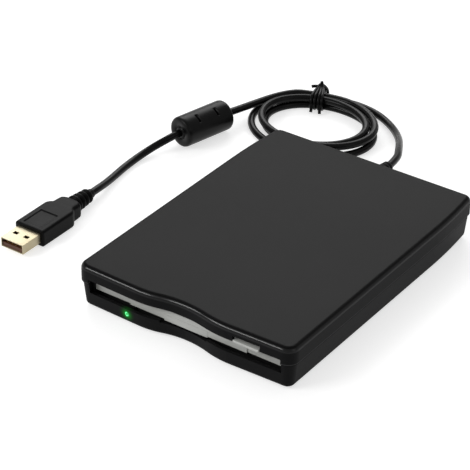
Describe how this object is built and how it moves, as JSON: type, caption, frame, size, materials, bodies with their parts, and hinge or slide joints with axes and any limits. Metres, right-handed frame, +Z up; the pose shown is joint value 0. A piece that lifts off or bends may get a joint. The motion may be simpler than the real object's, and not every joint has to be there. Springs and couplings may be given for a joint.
{
  "type": "external floppy disk drive",
  "caption": "Slim external floppy disk drive with a hinged dust door, eject button and a coiled lead with a ferrite bead and a flat rectangular plug.",
  "frame": {"origin": "middle of the case's footprint, on the surface that it stands on", "axes": "-Y is the front with the disk slot, +X is to the right seen from the front, +Z is up"},
  "size_m": [0.1596, 0.211, 0.0204],
  "materials": {
    "case_plastic": "fine spark-eroded matt moulding",
    "grey_plastic": "satin warm grey moulding",
    "rubber_black": "matt",
    "screw_black": "black zinc",
    "steel_sheet": "zinc-plated sheet",
    "steel_polished": "ground and polished",
    "board_green": "solder mask",
    "chip_black": "moulded epoxy",
    "copper_wire": "enamelled copper",
    "brass_bush": "turned",
    "magnet_dark": "sintered",
    "nylon_black": "glass-filled moulding",
    "head_ceramic": "polished ceramic",
    "lamp_green": "tinted epoxy",
    "clear_guide": "moulded clear plastic",
    "flex_amber": "polyimide film",
    "cable_black": "semi-gloss jacket",
    "bead_black": "moulded over the ferrite",
    "plug_black": "moulded grip",
    "plug_metal": "pale gold plating",
    "tongue_dark": "moulded",
    "contact_gold": "gold flash"
  },
  "bodies": {
    "root": {"top_cover": "case_plastic", "bottom_case": "case_plastic", "rubber_feet": "rubber_black", "case_screws": "screw_black", "drive_screws": "screw_black", "drive_chassis": "steel_sheet", "drive_lid": "steel_sheet", "drive_bezel": "nylon_black", "door_spring": "steel_polished", "status_light": "clear_guide", "status_lamp": "lamp_green", "eject_springs": "steel_polished", "motor_board": "board_green", "motor_board_parts": "chip_black", "spindle_bearing": "brass_bush", "stator_core": "magnet_dark", "stator_coils": "copper_wire", "guide_rod": "steel_polished", "guide_rod_clips": "nylon_black", "stepper_motor": "steel_sheet", "stepper_bracket": "steel_sheet", "sensor_switches": "chip_black", "track_sensor": "chip_black", "main_board": "board_green", "main_board_parts": "chip_black", "usb_board": "board_green", "usb_board_parts": "chip_black", "flat_flex": "flex_amber", "strain_relief": "cable_black", "inner_lead": "cable_black", "cable_coil": "cable_black", "cable_lead": "cable_black", "cable_mid": "cable_black", "cable_tail": "cable_black", "ferrite_bead": "bead_black", "cable_tie": "cable_black", "usb_grip": "plug_black", "usb_shell": "plug_metal", "usb_tongue": "tongue_dark", "usb_contacts": "contact_gold"},
    "door": {"dust_door": "grey_plastic"},
    "ejector": {"eject_plate": "steel_sheet", "eject_button": "grey_plastic"},
    "holder": {"disk_holder": "steel_sheet"},
    "shutter": {"shutter_lever": "steel_polished"},
    "spindle": {"rotor_cup": "steel_polished", "rotor_magnet": "magnet_dark", "spindle_hub": "steel_polished", "spindle_shaft": "steel_polished", "drive_pin": "brass_bush"},
    "carriage": {"head_carriage": "nylon_black", "lower_head": "head_ceramic", "arm_pin": "steel_polished"},
    "head_arm": {"upper_head_arm": "steel_sheet", "upper_head": "head_ceramic"},
    "screw": {"lead_screw": "steel_polished"},
    "disk_in": {"disk_in_plunger": "head_ceramic"},
    "write_protect": {"write_protect_plunger": "head_ceramic"},
    "density": {"density_plunger": "head_ceramic"}
  },
  "joints": [
    {"name": "door_swing", "type": "hinge", "parent": "root", "child": "door", "pos_m": [0, -0.0653, 0.0129], "axis": [1, 0, 0], "range_deg": [0, 80], "stiffness_Nm_per_rad": 0.0006, "springref_deg": -20.05},
    {"name": "eject_slide", "type": "slide", "parent": "root", "child": "ejector", "axis": [0, -1, 0], "range_m": [0, 0.004], "stiffness_N_per_m": 300, "deforming": ["eject_springs"]},
    {"name": "holder_lift", "type": "slide", "parent": "root", "child": "holder", "axis": [0, 0, -1], "range_m": [0, 0.002]},
    {"name": "shutter_swing", "type": "hinge", "parent": "holder", "child": "shutter", "pos_m": [-0.032, 0.02775, 0.0125], "axis": [0, 0, 1], "range_deg": [0, 35], "stiffness_Nm_per_rad": 0.001, "springref_deg": -17.19},
    {"name": "spindle_spin", "type": "hinge", "parent": "root", "child": "spindle", "pos_m": [0, -0.00625, 0.006], "axis": [0, 0, 1], "continuous": true},
    {"name": "head_slide", "type": "slide", "parent": "root", "child": "carriage", "axis": [0, -1, 0], "range_m": [0, 0.0148]},
    {"name": "screw_turn", "type": "hinge", "parent": "root", "child": "screw", "pos_m": [0.02, 0.03975, 0.0089], "axis": [0, 1, 0], "range_deg": [0, 1780]},
    {"name": "arm_swing", "type": "hinge", "parent": "carriage", "child": "head_arm", "pos_m": [0, 0.04725, 0.0104], "axis": [1, 0, 0], "range_deg": [0, 15.5]},
    {"name": "disk_in_press", "type": "slide", "parent": "root", "child": "disk_in", "axis": [0, 0, -1], "range_m": [0, 0.001], "stiffness_N_per_m": 300, "springref_m": -0.0003},
    {"name": "write_protect_press", "type": "slide", "parent": "root", "child": "write_protect", "axis": [0, 0, -1], "range_m": [0, 0.001], "stiffness_N_per_m": 300, "springref_m": -0.0003},
    {"name": "density_press", "type": "slide", "parent": "root", "child": "density", "axis": [0, 0, -1], "range_m": [0, 0.001], "stiffness_N_per_m": 300, "springref_m": -0.0003}
  ],
  "couplings": [
    {"joint": "holder_lift", "follows": "eject_slide", "ratio": 0.5},
    {"joint": "arm_swing", "follows": "eject_slide", "rad_per_m": 67.5},
    {"joint": "screw_turn", "follows": "head_slide", "rad_per_m": 2094.4}
  ]
}
